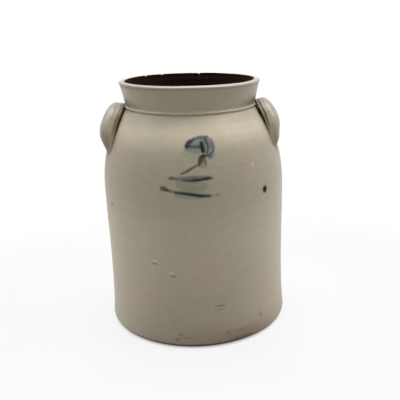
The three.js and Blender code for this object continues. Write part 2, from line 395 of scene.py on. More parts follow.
def wrapped_grid(tree, rows, sides):
    """A grid that wraps round its sides, with the row and the side that each of its points belongs to."""
    index = add(tree, "GeometryNodeInputIndex")
    row = add(tree, "FunctionNodeIntegerMath", {0: index, 1: rows}, operation="MODULO")
    side = add(tree, "FunctionNodeIntegerMath", {0: index, 1: rows}, operation="DIVIDE_FLOOR")
    columns = add(tree, "FunctionNodeIntegerMath", {0: sides, 1: 1}, operation="ADD")
    return add(tree, "GeometryNodeMeshGrid", {"Vertices X": columns, "Vertices Y": rows}), row, side


def finish_tree(tree, mesh, material):
    """Ends a node tree in a smooth mesh with a material and no instances."""
    mesh = add(tree, "GeometryNodeSetShadeSmooth", {"Geometry": mesh})
    mesh = add(tree, "GeometryNodeRealizeInstances", {"Geometry": mesh})
    mesh = add(tree, "GeometryNodeSetMaterial", {"Geometry": mesh, "Material": material})
    add(tree, "NodeGroupOutput", {0: mesh})


def lathe_tree():
    """Node tree that turns a chain of outline points round the Z axis, with the marks of throwing."""
    tree, given = shape_tree("Thrown on the wheel", {
        "Segments": "Int", "Crowding": "Float", "Ring spacing": "Float", "Out of round": "Float",
        "Seed": "Float"})
    outline = given["Geometry"]
    rows = add(tree, "GeometryNodeAttributeDomainSize", {0: outline}, take="Point Count")
    grid, row, column = wrapped_grid(tree, rows, given["Segments"])

    # Columns that crowd towards the painted front
    share = add(tree, "ShaderNodeMath", {0: column, 1: given["Segments"]}, operation="DIVIDE")
    even = add(tree, "ShaderNodeMath", {0: share, 1: math.tau}, operation="MULTIPLY")
    crowd = add(tree, "ShaderNodeMath", {0: even}, operation="COSINE")
    crowd = add(tree, "ShaderNodeMath", {0: crowd, 1: given["Crowding"]}, operation="MULTIPLY")
    turn = add(tree, "ShaderNodeMath", {0: even, 1: crowd}, operation="SUBTRACT")
    cosine = add(tree, "ShaderNodeMath", {0: turn}, operation="COSINE")
    sine = add(tree, "ShaderNodeMath", {0: turn}, operation="SINE")

    # The outline point that a row comes from, and how deep its finger marks are
    place = add(tree, "GeometryNodeInputPosition")
    point = add(tree, "GeometryNodeSampleIndex", {"Geometry": outline, "Value": place, "Index": row},
                data_type="FLOAT_VECTOR")
    point = add(tree, "ShaderNodeSeparateXYZ", {0: point}).node.outputs
    depth = add(tree, "GeometryNodeInputNamedAttribute", {"Name": "ring_depth"}, data_type="FLOAT")
    depth = add(tree, "GeometryNodeSampleIndex", {"Geometry": outline, "Value": depth, "Index": row},
                data_type="FLOAT")

    # Finger marks climb one spacing in each turn
    rise = add(tree, "ShaderNodeMath", {0: point["Z"], 1: given["Ring spacing"]}, operation="DIVIDE")
    phase = add(tree, "ShaderNodeMath", {0: rise, 1: math.tau, 2: turn}, operation="MULTIPLY_ADD")
    ring = add(tree, "ShaderNodeMath", {0: phase}, operation="SINE")
    ring = add(tree, "ShaderNodeMath", {0: ring, 1: depth}, operation="MULTIPLY")

    # Slow wander of the wall, the same on every piece of the jar, that dies out within 50 mm of the axis
    around = add(tree, "ShaderNodeCombineXYZ", {0: cosine, 1: sine, 2: point["Z"]})
    around = add(tree, "ShaderNodeVectorMath", {0: around, 1: (1.0, 1.0, 7.0)}, operation="MULTIPLY")
    wander = add(tree, "ShaderNodeTexNoise", {
        "Vector": around, "W": given["Seed"], "Scale": 0.9, "Detail": 1.0}, noise_dimensions="4D")
    wander = add(tree, "ShaderNodeMapRange", {0: wander, 1: 0.2, 2: 0.8, 3: -1.0, 4: 1.0})
    off_axis = add(tree, "ShaderNodeMapRange", {0: point["X"], 1: 0.0, 2: 50 * MM})
    wander = add(tree, "ShaderNodeMath", {0: wander, 1: off_axis}, operation="MULTIPLY")
    radius = add(tree, "ShaderNodeMath", {0: wander, 1: given["Out of round"], 2: point["X"]},
                 operation="MULTIPLY_ADD")
    radius = add(tree, "ShaderNodeMath", {0: radius, 1: ring}, operation="ADD")

    east = add(tree, "ShaderNodeMath", {0: radius, 1: cosine}, operation="MULTIPLY")
    north = add(tree, "ShaderNodeMath", {0: radius, 1: sine}, operation="MULTIPLY")
    place = add(tree, "ShaderNodeCombineXYZ", {0: east, 1: north, 2: point["Z"]})
    turned = add(tree, "GeometryNodeSetPosition", {"Geometry": grid, "Position": place})
    merged = add(tree, "GeometryNodeMergeByDistance", {"Geometry": turned, "Distance": SEAM})
    finish_tree(tree, merged, given["Material"])
    return tree


def chain_object(name, points, values):
    """An object whose mesh is a chain of points that carry named values."""
    mesh = bpy.data.meshes.new(name)
    edges = [(start, start + 1) for start in range(len(points) - 1)]
    mesh.from_pydata([tuple(point) for point in points], edges, [])
    for key, value in values.items():
        value = np.asarray(value, np.float32)
        kind = "FLOAT" if value.ndim == 1 else "FLOAT_VECTOR"
        field = "value" if value.ndim == 1 else "vector"
        mesh.attributes.new(key, kind, "POINT").data.foreach_set(field, value.ravel())
    chain = bpy.data.objects.new(name, mesh)
    bpy.context.scene.collection.objects.link(chain)
    return chain


def run_tree(chain, tree, values):
    """Runs a node tree on an object and keeps the result as its plain mesh, with faces outwards."""
    modifier = chain.modifiers.new(tree.name, "NODES")
    modifier.node_group = tree
    for item in tree.interface.items_tree:
        if item.in_out == "INPUT" and item.name in values:
            modifier[item.identifier] = values[item.name]
    depsgraph = bpy.context.evaluated_depsgraph_get()
    mesh = bpy.data.meshes.new_from_object(chain.evaluated_get(depsgraph), depsgraph=depsgraph)
    mesh.name = chain.name
    chain.modifiers.remove(modifier)
    chain.data = mesh
    shape = bmesh.new()
    shape.from_mesh(mesh)
    bmesh.ops.recalc_face_normals(shape, faces=shape.faces)
    if shape.calc_volume(signed=True) < 0:
        bmesh.ops.reverse_faces(shape, faces=shape.faces)
    shape.to_mesh(mesh)
    shape.free()
    return chain


def read_points(mesh):
    """A mesh's points as an array."""
    points = np.empty(len(mesh.vertices) * 3, np.float32)
    mesh.vertices.foreach_get("co", points)
    return points.reshape(-1, 3).astype(float)


def write_points(mesh, points):
    """Moves a mesh's points."""
    mesh.vertices.foreach_set("co", points.astype(np.float32).ravel())
    mesh.update()


def ease(values, low, high):
    """Smooth step from 0 at low to 1 at high."""
    share = np.clip((np.asarray(values, float) - low) / (high - low), 0, 1)
    return share * share * (3 - 2 * share)


# How the rim settled: the height of shoulder that bends, and waves as share, number round the rim and phase
NECK_BEND = 30 * MM
RIM_WAVES = ((0.5, 3, 0.7), (0.3, 5, 2.1), (0.2, 11, 0))
WALL_SEED = 3.0  # of the wall's slow wander


def settle_neck(points, jar):
    """Tilts the neck a little and lets the rim sag, as on a jar lifted off the wheel while wet."""
    lip_bottom, _, bead_bottom, shoulder_top, _ = jar_levels(jar)
    turn = np.arctan2(points[:, 1], points[:, 0])
    neck = ease(points[:, 2], shoulder_top - NECK_BEND, bead_bottom)
    lip = ease(points[:, 2], lip_bottom, jar.height)
    wave = sum(share * np.sin(count * turn + phase) for share, count, phase in RIM_WAVES)
    sag = jar.rim_dip * np.sin(turn) - jar.rim_sag + jar.rim_wave * wave
    points[:, 2] += neck * -math.tan(jar.rim_tilt) * points[:, 0] + lip * sag
    return points


def ring_depths(outline, depth, low, high):
    """Depth of the throwing rings at each outline point: they fade in across low and out across high."""
    return depth * ease(outline[:, 1], *low) * (1 - ease(outline[:, 1], *high))


def turn_on_wheel(name, outline, depths, jar, crowding, material):
    """A turned piece with throwing rings as deep as given at each outline point, still standing true."""
    points = np.column_stack((outline[:, 0], np.zeros(len(outline)), outline[:, 1]))
    piece = chain_object(name, points, {"ring_depth": depths})
    return run_tree(piece, lathe_tree(), {
        "Segments": jar.segments, "Crowding": crowding, "Ring spacing": jar.ring_spacing,
        "Out of round": jar.out_of_round, "Seed": WALL_SEED, "Material": material})


def store(mesh, name, values):
    """Stores a value on each of a mesh's points, for its material to read."""
    mesh.attributes.new(name, "FLOAT", "POINT").data.foreach_set("value", np.asarray(values, np.float32))


# Chips in the slip at the rim: angle from +X in degrees, half width and drop in millimetres
CHIPS = ((136, 1.2, 1.7), (117, 1.0, 1.3), (80, 1.3, 2.2), (48, 0.9, 1.1), (-152, 1.2, 1.2))
CHIP_START = 8 * MM  # below the rim, where chips begin
CHIP_FULL = 4 * MM  # below the rim, where they have their full drop


def chip_share(points, jar):
    """How far each point near the rim lies in a chip, in millimetres of drop."""
    turn = np.degrees(np.arctan2(points[:, 1], points[:, 0]))
    reach = np.hypot(points[:, 0], points[:, 1]) / MM
    near_rim = ease(points[:, 2], jar.height - CHIP_START, jar.height - CHIP_FULL)
    drop = np.zeros(len(points))
    for place, half_width, depth in CHIPS:
        away = np.radians((turn - place + 180) % 360 - 180) * reach
        drop = np.maximum(drop, depth * np.exp(-(away / half_width) ** 2))
    return drop * near_rim


# Paleness of the rim, the bead and the chips: wear, with a painted reflection on the rim's back and a painted
# highlight along the bead
RIM_PALE_BAND = (2.2 * MM, 0.7 * MM)  # below the rim, where its paleness begins and where it is full
REAR_REFLECTION = (-20 * MM, 50 * MM)  # from front to back, across which the rim's painted reflection grows
FRONT_WEAR = 0.15  # share of the rim's paleness at its front, where it is wear alone
# Painted highlight along the bead
BEAD_HIGHLIGHT = 0.8
BEAD_SPREAD = 1.1 * MM  # above and below the bead's middle
CHIP_WEAR = (0.3, 0.9)  # millimetres of a chip's drop, across which clay shows

# Dirt and painted shade in the groove and under the lip: amount, and spread above and below its middle
GROOVE_DIRT_AND_SHADE = (0.2, 0.9 * MM)
LIP_DIRT_AND_SHADE = (0.08, 1.1 * MM)


def store_wear_and_shade(mesh, points, jar, handle):
    """Stores where clay is painted pale as wear, as a painted reflection and as a painted highlight, where
    dirt and painted shade lie in tooled lines and where painted shade lies under the straps.
    """
    lip_bottom, neck_bottom, bead_bottom, shoulder_top, _ = jar_levels(jar)
    height = points[:, 2]
    outside = np.hypot(points[:, 0], points[:, 1]) > jar.neck_radius - 2 * MM

    # The rim is palest at the back, as a painted reflection over its wear, and the bead all round, as a
    # painted highlight
    rear = FRONT_WEAR + (1 - FRONT_WEAR) * ease(points[:, 1], *REAR_REFLECTION)
    rim = rear * ease(height, jar.height - RIM_PALE_BAND[0], jar.height - RIM_PALE_BAND[1])
    bead = BEAD_HIGHLIGHT * np.exp(-((height - (bead_bottom + neck_bottom) / 2) / BEAD_SPREAD) ** 2)
    chips = np.where(outside, 0, ease(chip_share(points, jar), *CHIP_WEAR))
    store(mesh, "rim_wear", np.maximum.reduce((rim, bead, chips)))

    dirt_and_shade = np.zeros(len(points))
    groove_middle = (bead_bottom + shoulder_top) / 2
    lip_line = lip_bottom + 2 * jar.lip_cut
    for level, (amount, spread) in ((groove_middle, GROOVE_DIRT_AND_SHADE), (lip_line, LIP_DIRT_AND_SHADE)):
        dirt_and_shade = np.maximum(dirt_and_shade, amount * np.exp(-((height - level) / spread) ** 2))
    store(mesh, "tooled_dirt", np.where(outside, dirt_and_shade, 0))
    store(mesh, "strap_shade", strap_shade(points, jar, handle))


# Where painted shade round the straps is looked for, on the way from the shoulder to the collar
SHADE_LOW = 200 * MM
SHADE_HIGH = 24 * MM  # below the rim
SHADE_TURN = 0.6  # radians to either side of a strap's middle
SHADE_UNDER = (-1.5 * MM, 2.2 * MM)  # beyond a strap's edge, across which the painted shade under it ends
SHADE_BESIDE = (0, 8 * MM)  # beyond its edge, across which the thinner painted shade beside it ends


def strap_shade(points, jar, handle):
    """How far each point of the shoulder lies under or close beside a strap, for the painted shade there."""
    middle, values = strap_spine(jar, handle, PLAIN_STRAP)
    reach = 0.85 * jar.barrel_radius  # about the shoulder's own radius
    path = np.column_stack((np.arctan2(middle[:, 1], middle[:, 0]) * reach, values["foot_height"]))
    level = (points[:, 2] > SHADE_LOW) & (points[:, 2] < jar.height - SHADE_HIGH)
    shade = np.zeros(len(points))
    for side in (1, -1):
        turn = np.arctan2(points[:, 1] * side, points[:, 0] * side)
        near = np.flatnonzero(level & (np.abs(turn) < SHADE_TURN))
        spots = np.column_stack((turn[near] * reach, points[near, 2]))
        away = np.hypot(*(spots[:, None] - path[None]).transpose(2, 0, 1))
        beyond = (away - values["half_width"][None]).min(1)
        under = 1 - ease(beyond, *SHADE_UNDER)
        beside = 0.5 * (1 - ease(beyond, *SHADE_BESIDE))
        shade[near] = np.maximum.reduce((shade[near], under, beside))
    return shade


# Brushwork: places are an arc in millimetres from the front, as on the barrel, and a height
FIGURE_RADIUS = 108.5
FIGURE_WALL = 85  # what lies nearer to the axis is not the outside of the wall
FIGURE_ARC = 55  # to either side of the front
FIGURE_LOW = 165  # lowest and highest place that is painted
FIGURE_HIGH = 256
INK = "#05080e"
SLATE = "#20282a"
STEEL = "#3c484e"
TEAL = "#4a5b60"
PLUM = "#2b2329"
LILAC = "#565b70"
UMBER = "#33291c"
BISTRE = "#4a402e"
SAGE = "#70755f"
MIST = "#6b7069"

# Each stroke: colour, cover, width at its start, middle and end, and the points that it runs through
STROKES = (
    (SAGE, 0.6, (8, 12, 8), ((-15.5, 196.4), (-2, 194.6), (12, 193.6))),
    (SAGE, 0.5, (5, 8, 5), ((-14, 191.4), (-3, 189.8), (9, 188))),
    (TEAL, 0.82, (4, 9, 4.4), ((-3.6, 236), (2.6, 238.2), (10, 239.4), (18.4, 238), (22.5, 233))),
    (SAGE, 0.4, (8, 12, 9), ((-8, 228.4), (0, 227), (8, 225.6))),
    (TEAL, 0.62, (4, 6.4, 5), ((-7.6, 232.6), (0, 231.2), (10, 230))),
    (PLUM, 0.92, (5.4, 4.8, 2.6), ((-6.4, 235.4), (-4.4, 238.2), (-0.8, 240), (2.6, 241.6))),
    (STEEL, 0.9, (2.4, 2.8, 3), ((1.2, 241.5), (6.6, 242.7), (11.7, 243.3), (19.3, 243))),
    (STEEL, 0.62, (3, 5, 3.6), ((18, 242.8), (23.8, 239.2), (25, 233.4), (23.4, 228), (20, 224.4))),
    (TEAL, 0.62, (3.6, 5, 3.6), ((19.8, 236), (19.6, 231.4), (18.8, 227))),
    (SLATE, 0.6, (1.2, 1.8, 1.4), ((23.6, 240), (26.2, 234), (24.6, 228.4))),
    (SLATE, 0.9, (2.6, 3, 2.4), ((16, 241), (18.2, 237.2), (18.6, 231.4), (17, 227.4))),
    (SLATE, 0.85, (3.4, 3, 4.6), ((-6.6, 234.6), (1, 234.2), (10.5, 233.8))),
    (LILAC, 0.85, (1.8, 2.6, 1.8), ((16, 236.2), (16.2, 232.4), (15.2, 228.6))),
    (INK, 1.0, (4.8, 6.4, 5), ((11.8, 237), (12.3, 233.4), (12.9, 229.6))),
    (STEEL, 0.8, (2.6, 4, 3), ((23.3, 228), (21.4, 225.6), (20.4, 223))),
    (TEAL, 0.6, (2, 2.6, 2), ((18, 221.4), (22, 222.6), (25.6, 224.6))),
    (PLUM, 0.95, (2.2, 3.4, 2.4), ((9.8, 224.6), (14.2, 224.8), (18.4, 224.6))),
    (UMBER, 0.92, (3.6, 5, 3), ((12.6, 224.6), (9.4, 222.8), (8, 219.6), (7.2, 215.6))),
    (BISTRE, 0.55, (3.6, 3.6, 1.8), ((10.4, 220), (6.6, 217), (2.3, 214.8))),
    (UMBER, 0.55, (2.8, 2.8, 2.2), ((11, 222.4), (10.6, 218.6), (10.6, 213.4))),
    (UMBER, 0.8, (2.8, 2.8, 1.8), ((13.2, 223), (14, 219.4), (14.4, 214.4))),
    (UMBER, 0.85, (2, 3.2, 1.6), ((3, 214.8), (-2.6, 212), (-7.6, 209.4), (-13.6, 207))),
    (UMBER, 0.8, (3, 3.8, 1.8), ((-26, 202.8), (-23.4, 202.8), (-20.4, 202.4))),
    (STEEL, 0.75, (3.4, 6, 4.4), ((-19.4, 202), (-9, 202), (3.8, 202.2), (15.7, 201.8))),
    (SLATE, 0.95, (1.6, 3, 3), ((-11, 200.1), (-0.6, 199.9), (7, 200.5), (15, 201.3))),
    (UMBER, 0.9, (2.6, 3.6, 1.8), ((15.8, 201.6), (18.4, 201.6), (20.6, 201.6))),
    (UMBER, 0.85, (5, 5.4, 2.8), ((-34.8, 191.7), (-32.4, 191.2), (-28, 189.8))),
    (UMBER, 0.7, (2.4, 3.4, 2.8), ((-30, 190.2), (-24.8, 188.9), (-18.6, 187.5))),
    (MIST, 0.55, (3, 5, 3), ((-19.6, 184.4), (-8.9, 182.8), (6, 180.8))),
    (SLATE, 0.95, (3, 4, 3.6), ((-19.6, 187.6), (-10.8, 186.5), (-2.3, 185.2), (6.1, 183.5), (15.4, 182.7))),
    (INK, 0.6, (1.2, 2.2, 1.6), ((-15, 186.9), (-2.3, 184.8), (10.4, 182.8))),
    (BISTRE, 0.75, (3, 3, 2), ((14.7, 182.6), (17.5, 182.6), (19.8, 182.6))),
    (BISTRE, 0.55, (1.8, 2.6, 1.8), ((24, 182.6), (25.2, 182.5), (26.4, 182.4))),
)
STROKE_SOFTNESS = 1.3  # least half width of a stroke's fading edge
STROKE_BLUR = 0.4  # the same, as a share of the stroke's half width
STROKE_STEPS = 24
HAIR_COVER = 0.3  # least cover at which a stroke's hairs replace those below it


def stroke_line(points):
    """A smooth line through a stroke's points."""
    points = np.array(points, float)
    padded = np.vstack((2 * points[0] - points[1], points, 2 * points[-1] - points[-2]))
    share = np.linspace(0, 1, STROKE_STEPS + 1)[:, None]
    spans = []
    for before, start, end, after in zip(padded, padded[1:], padded[2:], padded[3:]):
        pull = (end - before) / 2
        push = (after - start) / 2
        spans.append(start + pull * share
                     + (3 * (end - start) - 2 * pull - push) * share ** 2
                     + (2 * (start - end) + pull + push) * share ** 3)
    return np.vstack([span[:-1] for span in spans[:-1]] + spans[-1:])


def stroke_cover(spots, stroke):
    """How far a stroke covers each spot, and the place of each spot along and across it."""
    _, cover, widths, points = stroke
    path = stroke_line(points)
    run = np.concatenate(([0], np.cumsum(np.linalg.norm(np.diff(path, axis=0), axis=1))))
    away = spots[:, None] - path[None]
    nearest = np.argmin((away ** 2).sum(2), 1)
    rows = np.arange(len(spots))
    away = away[rows, nearest]
    heading = np.gradient(path, axis=0)[nearest]
    heading /= np.linalg.norm(heading, axis=1)[:, None]
    across = away[:, 0] * -heading[:, 1] + away[:, 1] * heading[:, 0]
    share = run[nearest] / run[-1]
    reach = np.interp(share, (0, 0.5, 1), widths) / 2
    fading = np.maximum(STROKE_SOFTNESS, STROKE_BLUR * reach)
    inside = 1 - ease(np.hypot(*away.T), reach - fading, reach + fading)
    return cover * inside, run[nearest], across


def paint_figure(mesh, points):
    """Stores the brushed capacity figure on the jar's front, for its glaze to show."""
    points = points / MM
    arcs = np.arctan2(points[:, 0], -points[:, 1]) * FIGURE_RADIUS
    heights = points[:, 2]
    outside = np.hypot(points[:, 0], points[:, 1]) > FIGURE_WALL
    front = outside & (np.abs(arcs) < FIGURE_ARC) & (heights > FIGURE_LOW) & (heights < FIGURE_HIGH)
    front = np.flatnonzero(front)
    spots = np.column_stack((arcs, heights))[front]
    colour = np.zeros((len(points), 4), np.float32)
    brush = np.zeros((len(points), 3), np.float32)
    for number, stroke in enumerate(STROKES):
        cover, along, across = stroke_cover(spots, stroke)
        before = colour[front]
        alpha = cover + before[:, 3] * (1 - cover)
        mixed = (np.array(linear(stroke[0]))[None] * cover[:, None]
                 + before[:, :3] * (before[:, 3] * (1 - cover))[:, None])
        before[:, :3] = mixed / np.maximum(alpha, 1e-6)[:, None]
        before[:, 3] = alpha
        colour[front] = before
        strong = cover > HAIR_COVER
        brush[front[strong]] = np.column_stack((along, across, np.full(len(along), number)))[strong]
    mesh.attributes.new("brushwork", "FLOAT_COLOR", "POINT").data.foreach_set("color", colour.ravel())
    mesh.attributes.new("brush_run", "FLOAT_VECTOR", "POINT").data.foreach_set("vector", brush.ravel())


# Materials

def new_material(name):
    """A material whose node tree is empty, and that tree."""
    material = bpy.data.materials.new(name)
    material.use_nodes = True
    material.node_tree.nodes.clear()
    return material, material.node_tree


def stoneware_material(name, scene, layer_makers):
    """Salt-glazed stoneware: grey-buff clay under a thin clear glaze that formed in the kiln.

    To the eye: soft gloss, a faint orange-peel, clouds of warmer and cooler grey, fine turning lines
    and dark iron specks. The layer makers add what one piece alone shows, each layer as a share,
    a colour and the way it is blended over those below.
    """
    glaze = scene.crock_glaze
    material, tree = new_material(name)
    place = add(tree, "ShaderNodeTexCoord", take="Object")

    # Clouds about 60 mm across, from cool to warm
    clouds = add(tree, "ShaderNodeTexNoise", {"Vector": place, "Scale": 1 / (60 * MM), "Detail": 3.0})
    warmth = add(tree, "ShaderNodeMapRange", {0: clouds, 1: 0.38, 2: 0.62})
    patches = add(tree, "ShaderNodeMix", {0: warmth, 6: (*glaze.cool, 1), 7: (*glaze.warm, 1)},
                  data_type="RGBA", take=2)
    body = add(tree, "ShaderNodeMix", {0: 0.5, 6: (*glaze.stoneware, 1), 7: patches},
               data_type="RGBA", take=2)
    for make_layers in (clay_layers, *layer_makers):
        for share, colour, blend in make_layers(tree, scene, place):
            body = add(tree, "ShaderNodeMix", {0: share, 6: body, 7: colour}, data_type="RGBA",
                       blend_type=blend, take=2)

    # Gloss that changes from patch to patch and dies on dirt, painted shade and iron, over an orange-peel of
    # about 2 mm
    gloss = add(tree, "ShaderNodeMapRange", {0: clouds, 1: 0.3, 2: 0.7, 3: 0.33, 4: 0.45})
    peel = add(tree, "ShaderNodeTexNoise", {"Vector": place, "Scale": 1 / (2 * MM), "Detail": 2.0})
    relief = add(tree, "ShaderNodeBump", {"Height": peel, "Strength": 0.12, "Distance": 0.3 * MM})
    depth = add(tree, "ShaderNodeRGBToBW", {0: body})
    shine = add(tree, "ShaderNodeMapRange", {0: depth, 1: 0.02, 2: 0.16, 3: 0.08, 4: 0.5})
    shader = add(tree, "ShaderNodeBsdfPrincipled", {
        "Base Color": body, "Roughness": gloss, "Specular IOR Level": shine, "Normal": relief, "IOR": 1.5})
    add(tree, "ShaderNodeOutputMaterial", {0: shader})
    return material


def clay_layers(tree, scene, place):
    """A mottle of about 9 mm, turning lines about 2 mm apart that run long round the jar, and iron specks."""
    for grain, detail, depth in (((9, 9, 9), 3.0, 0.035), ((80, 80, 2), 2.0, 0.014)):
        drawn = add(tree, "ShaderNodeVectorMath", {0: place, 1: [1 / (length * MM) for length in grain]},
                    operation="MULTIPLY")
        pattern = add(tree, "ShaderNodeTexNoise", {"Vector": drawn, "Scale": 1.0, "Detail": detail})
        shade = add(tree, "ShaderNodeMapRange", {0: pattern, 1: 0.3, 2: 0.7, 3: 1 - depth, 4: 1 + depth})
        yield 1.0, shade, "MULTIPLY"

    # One cell in six of an 8 mm pattern holds a speck, drawn larger than life so that it shows
    cells = add(tree, "ShaderNodeTexVoronoi", {"Vector": place, "Scale": 1 / (8 * MM)}).node.outputs
    chosen = add(tree, "ShaderNodeSeparateColor", {0: cells["Color"]})
    chosen = add(tree, "ShaderNodeMath", {0: chosen, 1: 0.84}, operation="GREATER_THAN")
    speck = add(tree, "ShaderNodeMapRange", {0: cells["Distance"], 1: 0.04, 2: 0.08, 3: 0.4, 4: 0.0})
    speck = add(tree, "ShaderNodeMath", {0: speck, 1: chosen}, operation="MULTIPLY")
    yield speck, (*scene.crock_glaze.iron, 1), "MIX"


# How pale or dark the glaze is painted at each height in millimetres: paler on the shoulder, partly where
# salt settled and partly a painted highlight, and painted shade towards the foot, at the bead and on the lip
# and the rim
TONE_AND_SHADING = ((0, 0.78), (20, 0.82), (45, 0.91), (90, 1.02), (122, 1.09), (146, 1.07), (178, 0.97), (205, 0.9),
         (215, 0.86), (222, 0.84), (229, 0.88), (237, 1.06), (244, 1.19), (250, 1.17), (256, 1.03),
         (261, 0.99), (267, 0.92), (275, 0.93), (291, 0.93), (293.5, 0.77), (295.5, 0.57), (298, 0.57))


def tone_and_shading_layers(tree, scene, place):
    """Glaze painted paler or darker from the foot to the rim, partly its own tone and partly painted light
    and shade.
    """
    jar_height = scene.crock_jar.height
    height = add(tree, "ShaderNodeSeparateXYZ", {0: place}, take="Z")
    share = add(tree, "ShaderNodeMath", {0: height, 1: jar_height}, operation="DIVIDE")
    ramp = add(tree, "ShaderNodeValToRGB", {0: share})
    stops = ramp.node.color_ramp.elements
    for level, _ in TONE_AND_SHADING[1:-1]:
        stops.new(level * MM / jar_height)
    for stop, (_, tone) in zip(stops, TONE_AND_SHADING):
        stop.color = (tone, tone, tone, 1)
    yield 1.0, ramp, "MULTIPLY"


def foot_layers(tree, scene, place):
    """Brown stain that creeps up from the foot, mostly at its right, painted shade along its edge, bare clay
    below.
    """
    glaze = scene.crock_glaze
    spot = add(tree, "ShaderNodeSeparateXYZ", {0: place}).node.outputs

    # The stain reaches 14 to 40 mm up, in clouds about 30 mm across
    cloud = add(tree, "ShaderNodeTexNoise", {"Vector": place, "Scale": 1 / (30 * MM), "Detail": 4.0})
    reach = add(tree, "ShaderNodeMapRange", {0: cloud, 1: 0.35, 2: 0.65, 3: 14 * MM, 4: 40 * MM})
    stain = add(tree, "ShaderNodeMapRange", {0: spot["Z"], 1: 3 * MM, 2: reach, 3: 0.75, 4: 0.0},
                interpolation_type="SMOOTHSTEP")
    side = add(tree, "ShaderNodeMapRange", {0: spot["X"], 1: -55 * MM, 2: 5 * MM, 3: 0.25, 4: 1.0},
               interpolation_type="SMOOTHSTEP")
    stain = add(tree, "ShaderNodeMath", {0: stain, 1: side}, operation="MULTIPLY")
    yield stain, (*glaze.stain, 1), "MIX"
    # A near-black band of painted shade along the foot's rounded edge, then bare clay on the underside
    for full, end, amount, colour in ((4.1, 6.4, 0.97, glaze.dirt_and_shade), (0.05, 0.3, 0.95, glaze.bare_clay)):
        share = add(tree, "ShaderNodeMapRange", {0: spot["Z"], 1: full * MM, 2: end * MM, 3: amount, 4: 0.0})
        yield share, (*colour, 1), "MIX"


# Marks of the kiln and of use, and spots of painted light and shade: arc, height, width and rise in
# millimetres, colour and cover
MARKS = (
    (89.2, 177.8, 10.6, 11, "#080404", 1.0),
    (90.4, 183, 5, 4.4, "#6b5f4c", 0.4),
    (73.1, 208.7, 3.6, 8, "#c4b89d", 0.45),
    # Two pits, each a pale upper half and a dark lower half: painted light and shade of their dents
    (-48.8, 106.4, 10, 4.2, "#c4b29e", 0.68),
    (-49.4, 103, 9, 3, "#5d4a3a", 0.55),
    (-29, 93.4, 10, 4.2, "#bdaa96", 0.62),
    (-27.2, 89.8, 8, 3.4, "#5d4a3a", 0.5),
    (24.1, 51.3, 15, 3.4, "#5b533f", 0.6),
    (24.1, 46.6, 14, 2.4, "#655d4a", 0.45),
    (-26, 11.2, 6, 5.4, "#4b3a28", 0.5),
    (-22, 18, 8, 4.4, "#54412f", 0.42),
    (-14, 14, 20, 2.8, "#6a5543", 0.42),
    (33, 16.4, 9, 3.8, "#5c4a38", 0.42),
    (50, 15.6, 12, 3, "#54432f", 0.46),
    (79.7, 25.3, 8, 10, "#5b513d", 0.5),
    (-117.3, 160.7, 5, 6, "#3b3c32", 0.85),
    # Painted highlight across the front of the shoulder
    (10, 253, 84, 30, "#b8b09b", 0.3),
    # Painted shade on the collar round each strap's crown
    (170, 270, 134, 21, "#43351f", 0.78),
    (-170, 271, 124, 24, "#4a3c28", 0.72),
    (56, 9, 96, 26, "#5c4a36", 0.34),
    (52, 5, 44, 11, "#43331f", 0.42),
)
MARK_EDGE = 0.5  # share of a mark's half size at which it starts to fade


def mark_layers(tree, scene, place):
    """The jar's marks and its spots of painted light and shade, each a soft round spot on its wall."""
    wall = outside_points(scene.crock_jar)
    for arc_length, height, width, rise, colour, cover in MARKS:
        turn = arc_length / FIGURE_RADIUS
        radius = np.interp(height * MM, wall[:, 1], wall[:, 0])
        centre = (radius * math.sin(turn), -radius * math.cos(turn), height * MM)
        scale = [2 / (length * MM) for length in (width, width, rise)]
        away = add(tree, "ShaderNodeVectorMath", {0: place, 1: centre}, operation="SUBTRACT")
        away = add(tree, "ShaderNodeVectorMath", {0: away, 1: scale}, operation="MULTIPLY")
        away = add(tree, "ShaderNodeVectorMath", {0: away}, operation="LENGTH", take="Value")
        mark = add(tree, "ShaderNodeMapRange", {0: away, 1: MARK_EDGE, 2: 1.0, 3: cover, 4: 0.0})
        yield mark, (*linear(colour), 1), "MIX"


def figure_layers(tree, scene, place):
    """Cobalt brushwork over the clay, with the streaks of the brush's hairs along each stroke."""
    paint = add(tree, "ShaderNodeAttribute", attribute_name="brushwork").node.outputs
    run = add(tree, "ShaderNodeAttribute", attribute_name="brush_run", take="Vector")
    stretched = add(tree, "ShaderNodeVectorMath", {0: run, 1: (0.06, 0.9, 3.1)}, operation="MULTIPLY")
    hairs = add(tree, "ShaderNodeTexNoise", {"Vector": stretched, "Scale": 1.0, "Detail": 3.0})
    hairs = add(tree, "ShaderNodeMapRange", {0: hairs, 1: 0.3, 2: 0.7, 3: 0.86, 4: 1.12})
    cover = add(tree, "ShaderNodeMath", {0: paint["Alpha"], 1: hairs}, operation="MULTIPLY", use_clamp=True)
    yield cover, paint["Color"], "MIX"


def wear_and_shade_layers(tree, scene, place):
    """Pale clay on the rim and the bead, worn and painted as reflection and highlight, dirt and painted shade
    in tooled lines, and painted shade under and beside the straps.
    """
    glaze = scene.crock_glaze
    for name, colour, amount in (
            ("rim_wear", glaze.worn, 0.8), ("tooled_dirt", glaze.dirt_and_shade, 0.8),
            ("strap_shade", glaze.dirt_and_shade, 0.6)):
        share = add(tree, "ShaderNodeAttribute", attribute_name=name, take="Fac")
        share = add(tree, "ShaderNodeMath", {0: share, 1: amount}, operation="MULTIPLY")
        yield share, (*colour, 1), "MIX"


# Heights across which a strap's brown stain and painted shade set in downwards and its painted grey shade
# upwards
STRAP_STAIN_AND_SHADE = (247 * MM, 232 * MM)
STRAP_TOP_SHADE = (246 * MM, 261 * MM)


